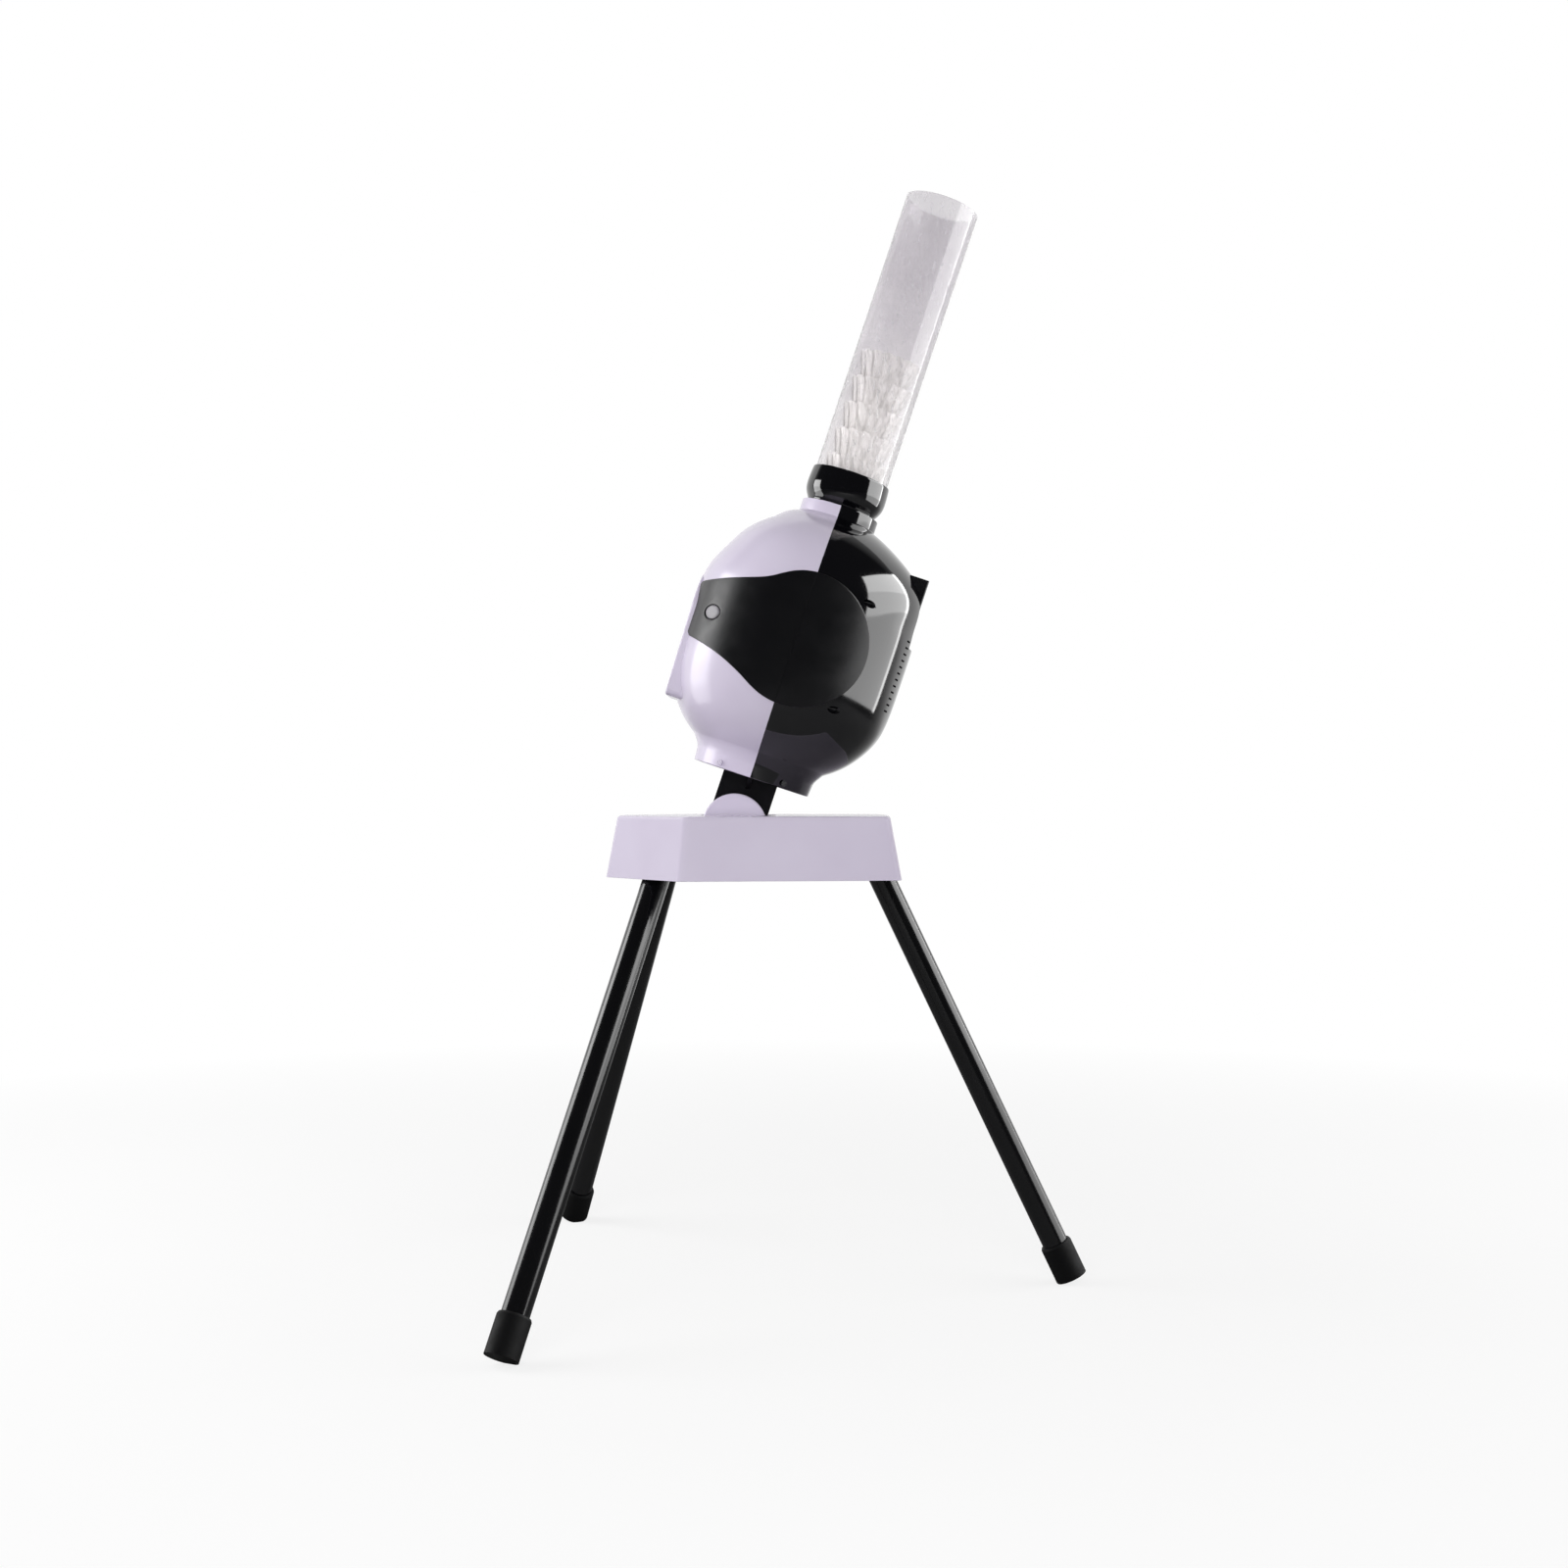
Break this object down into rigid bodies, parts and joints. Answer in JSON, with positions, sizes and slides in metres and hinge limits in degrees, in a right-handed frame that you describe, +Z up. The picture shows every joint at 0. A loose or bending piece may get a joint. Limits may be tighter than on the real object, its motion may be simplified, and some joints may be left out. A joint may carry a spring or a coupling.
{
  "type": "badminton serving machine",
  "caption": "Tripod serving machine: a tilting two-tone head drops shuttlecocks from a clear tube between two throwing wheels and serves them through a framed outlet.",
  "frame": {"origin": "on the floor, under the middle of the machine's overall box", "axes": "+Z up; -X the way the machine serves; Y across, with the button's side at -Y"},
  "size_m": [0.5643, 0.6204, 1.1],
  "materials": {
    "lavender_plastic": "satin moulded plastic",
    "gloss_black": "high gloss moulded plastic",
    "black_plastic": "fine matte moulded plastic",
    "black_tube": "semi-gloss black paint on steel tube",
    "rubber": "matte moulded rubber",
    "wheel_rubber": "soft matte wheel rubber",
    "clear_plastic": "clear glossy plastic tube",
    "white_plastic": "satin moulded plastic",
    "orange_plastic": "satin moulded plastic",
    "feather": "white goose feather and cork",
    "steel": "bright zinc-plated steel",
    "board": "green circuit board"
  },
  "bodies": {
    "stand": {"base_shell": "lavender_plastic", "base_plate": "black_plastic", "base_screws": "steel", "leg_near": "black_tube", "leg_far": "black_tube", "leg_rear": "black_tube", "foot_cap_near": "rubber", "foot_cap_far": "rubber", "foot_cap_rear": "rubber", "hinge_fork": "lavender_plastic", "pivot_bolt": "steel", "hinge_cover_near": "lavender_plastic", "hinge_cover_far": "lavender_plastic", "friction_washers": "steel"},
    "head": {"tilt_arm": "black_plastic", "front_shell": "lavender_plastic", "rear_shell": "gloss_black", "shell_screws": "steel", "side_panel_near": "black_plastic", "side_panel_far": "black_plastic", "outlet_bezel": "lavender_plastic", "tube_cup": "gloss_black", "shuttle_tube": "clear_plastic", "shuttlecocks": "feather", "drop_guide": "white_plastic", "feed_motor": "steel", "launch_deck": "black_plastic", "deck_posts": "steel", "wheel_motors": "steel", "control_board": "board", "battery_pack": "black_plastic", "button_switch": "steel"},
    "wheel_near": {"wheel_hub_near": "white_plastic", "wheel_tyre_near": "wheel_rubber"},
    "wheel_far": {"wheel_hub_far": "white_plastic", "wheel_tyre_far": "wheel_rubber"},
    "rotor": {"feed_rotor": "orange_plastic"},
    "button": {"side_button": "black_plastic"}
  },
  "joints": [
    {"name": "head_tilt", "type": "hinge", "parent": "stand", "child": "head", "pos_m": [-0.0722, 0, 0.463], "axis": [0, 1, 0], "range_deg": [-18.5, 11]},
    {"name": "wheel_near_spin", "type": "hinge", "parent": "head", "child": "wheel_near", "pos_m": [-0.05746, -0.047, 0.63311], "axis": [0.3173, 0, 0.9483], "continuous": true},
    {"name": "wheel_far_spin", "type": "hinge", "parent": "head", "child": "wheel_far", "pos_m": [-0.05746, 0.047, 0.63311], "axis": [0.3173, 0, 0.9483], "continuous": true},
    {"name": "rotor_spin", "type": "hinge", "parent": "head", "child": "rotor", "pos_m": [0.05139, 0, 0.69687], "axis": [0, 1, 0], "continuous": true},
    {"name": "button_press", "type": "slide", "parent": "head", "child": "button", "axis": [0, 1, 0], "range_m": [0, 0.002], "stiffness_N_per_m": 300, "springref_m": -0.002}
  ],
  "couplings": [
    {"joint": "wheel_far_spin", "follows": "wheel_near_spin", "ratio": -1}
  ]
}
